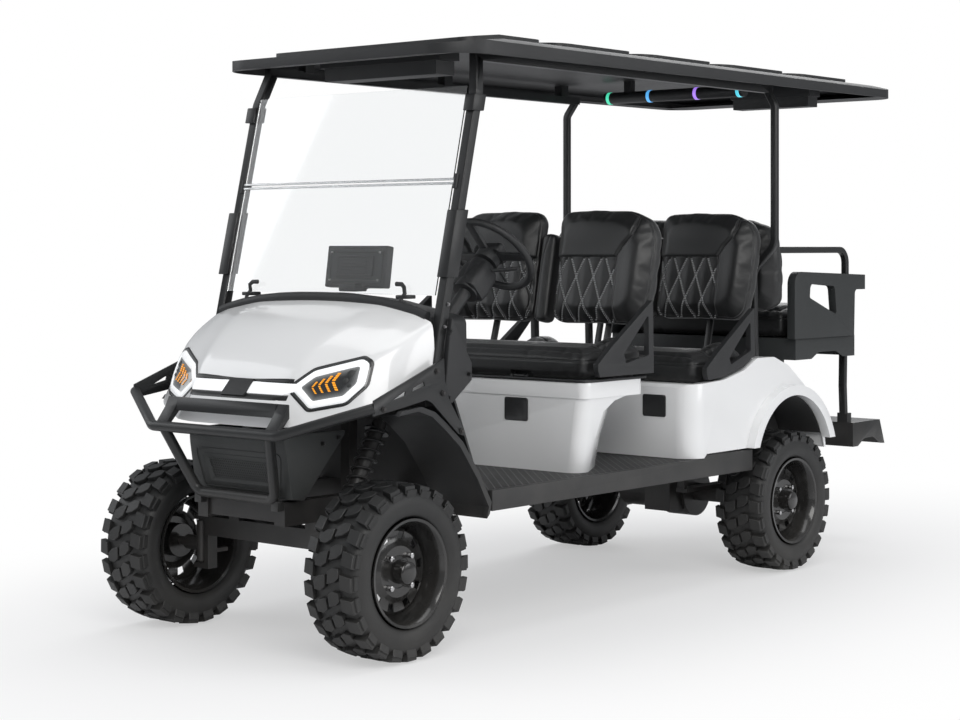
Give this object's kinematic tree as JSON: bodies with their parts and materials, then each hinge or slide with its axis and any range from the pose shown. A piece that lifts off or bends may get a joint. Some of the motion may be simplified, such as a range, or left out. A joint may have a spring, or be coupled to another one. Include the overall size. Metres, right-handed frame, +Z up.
{
  "type": "golf cart",
  "caption": "Lifted electric golf cart with two forward bench rows, a rear-facing flip seat, a long roof on posts, a folding windshield, a tubular front guard and knobby tyres.",
  "frame": {"origin": "centre of the bounding box's bottom, on the ground", "axes": "+Z up, -Y is the front of the cart, +X is the cart's left (driver's) side"},
  "size_m": [1.252, 3.724, 2.1479],
  "materials": {
    "white_body": "gloss",
    "black_metal": "satin",
    "black_plastic": "textured",
    "black_trim": "gloss",
    "grey_plastic": "textured",
    "tyre": "matte",
    "rim": "gloss",
    "upholstery": "quilted",
    "clear": "polished",
    "lamp_lens": "polished",
    "red_lens": "gloss",
    "screen": "gloss",
    "steel": "brushed"
  },
  "bodies": {
    "root": {"battery_pack": "black_plastic", "brush_guard": "black_metal", "canopy_frame": "black_metal", "dashboard": "black_plastic", "display": "screen", "drive_unit": "black_metal", "floor_pan": "black_plastic", "footplate": "black_metal", "frame": "black_metal", "frame_uprights": "black_metal", "front_axle": "black_metal", "front_cowl": "white_body", "front_panel": "grey_plastic", "front_seat_box": "white_body", "headlamps": "lamp_lens", "leg_shields": "black_plastic", "light_bar": "lamp_lens", "rear_armrests": "grey_plastic", "rear_body": "white_body", "rear_deck": "grey_plastic", "rear_grab_rails": "black_metal", "rear_seat_backs": "upholstery", "roof": "black_plastic", "roof_pods": "black_plastic", "seat_backs": "upholstery", "seat_struts": "black_metal", "sills": "black_plastic", "steering_column": "black_plastic", "suspension": "steel", "tail_lamps": "red_lens", "wheel_liners": "black_plastic", "windshield": "clear", "windshield_clips": "black_metal"},
    "knuckle_left": {"knuckle_left": "steel"},
    "knuckle_right": {"knuckle_right": "steel"},
    "wheel_front_left": {"rim_front_left": "rim", "tyre_front_left": "tyre"},
    "wheel_front_right": {"rim_front_right": "rim", "tyre_front_right": "tyre"},
    "wheel_rear_left": {"rim_rear_left": "rim", "tyre_rear_left": "tyre"},
    "wheel_rear_right": {"rim_rear_right": "rim", "tyre_rear_right": "tyre"},
    "steering_wheel": {"steering_wheel": "black_plastic"},
    "front_seat": {"front_seat_cushion": "upholstery", "front_hip_restraints": "black_plastic"},
    "middle_seat": {"middle_seat_cushion": "upholstery", "middle_hip_restraints": "black_plastic"},
    "rear_seat": {"rear_seat_cushion": "upholstery"}
  },
  "joints": [
    {"name": "steer_left", "type": "hinge", "parent": "root", "child": "knuckle_left", "pos_m": [0.4, -1.535, 0.295], "axis": [0, 0, 1], "range_deg": [-30, 30]},
    {"name": "steer_right", "type": "hinge", "parent": "root", "child": "knuckle_right", "pos_m": [-0.4, -1.535, 0.295], "axis": [0, 0, 1], "range_deg": [-30, 30]},
    {"name": "steering_wheel_turn", "type": "hinge", "parent": "root", "child": "steering_wheel", "pos_m": [0.3, -0.75, 1.336], "axis": [0, 0.7254, 0.6884], "range_deg": [-390, 390]},
    {"name": "spin_front_left", "type": "hinge", "parent": "knuckle_left", "child": "wheel_front_left", "pos_m": [0.513, -1.535, 0.295], "axis": [1, 0, 0], "continuous": true},
    {"name": "spin_front_right", "type": "hinge", "parent": "knuckle_right", "child": "wheel_front_right", "pos_m": [-0.513, -1.535, 0.295], "axis": [1, 0, 0], "continuous": true},
    {"name": "spin_rear_left", "type": "hinge", "parent": "root", "child": "wheel_rear_left", "pos_m": [0.513, 0.87, 0.295], "axis": [1, 0, 0], "continuous": true},
    {"name": "spin_rear_right", "type": "hinge", "parent": "root", "child": "wheel_rear_right", "pos_m": [-0.513, 0.87, 0.295], "axis": [1, 0, 0], "continuous": true},
    {"name": "front_seat_lift", "type": "hinge", "parent": "root", "child": "front_seat", "pos_m": [0, -0.479, 0.873], "axis": [1, 0, 0], "range_deg": [0, 75]},
    {"name": "middle_seat_lift", "type": "hinge", "parent": "root", "child": "middle_seat", "pos_m": [0, 0.245, 0.825], "axis": [1, 0, 0], "range_deg": [0, 75]},
    {"name": "rear_seat_flip", "type": "hinge", "parent": "root", "child": "rear_seat", "pos_m": [0, 1.608, 0.971], "axis": [-1, 0, 0], "range_deg": [0, 180]}
  ],
  "couplings": [
    {"joint": "steer_right", "follows": "steer_left", "ratio": 1},
    {"joint": "steering_wheel_turn", "follows": "steer_left", "ratio": 13}
  ]
}
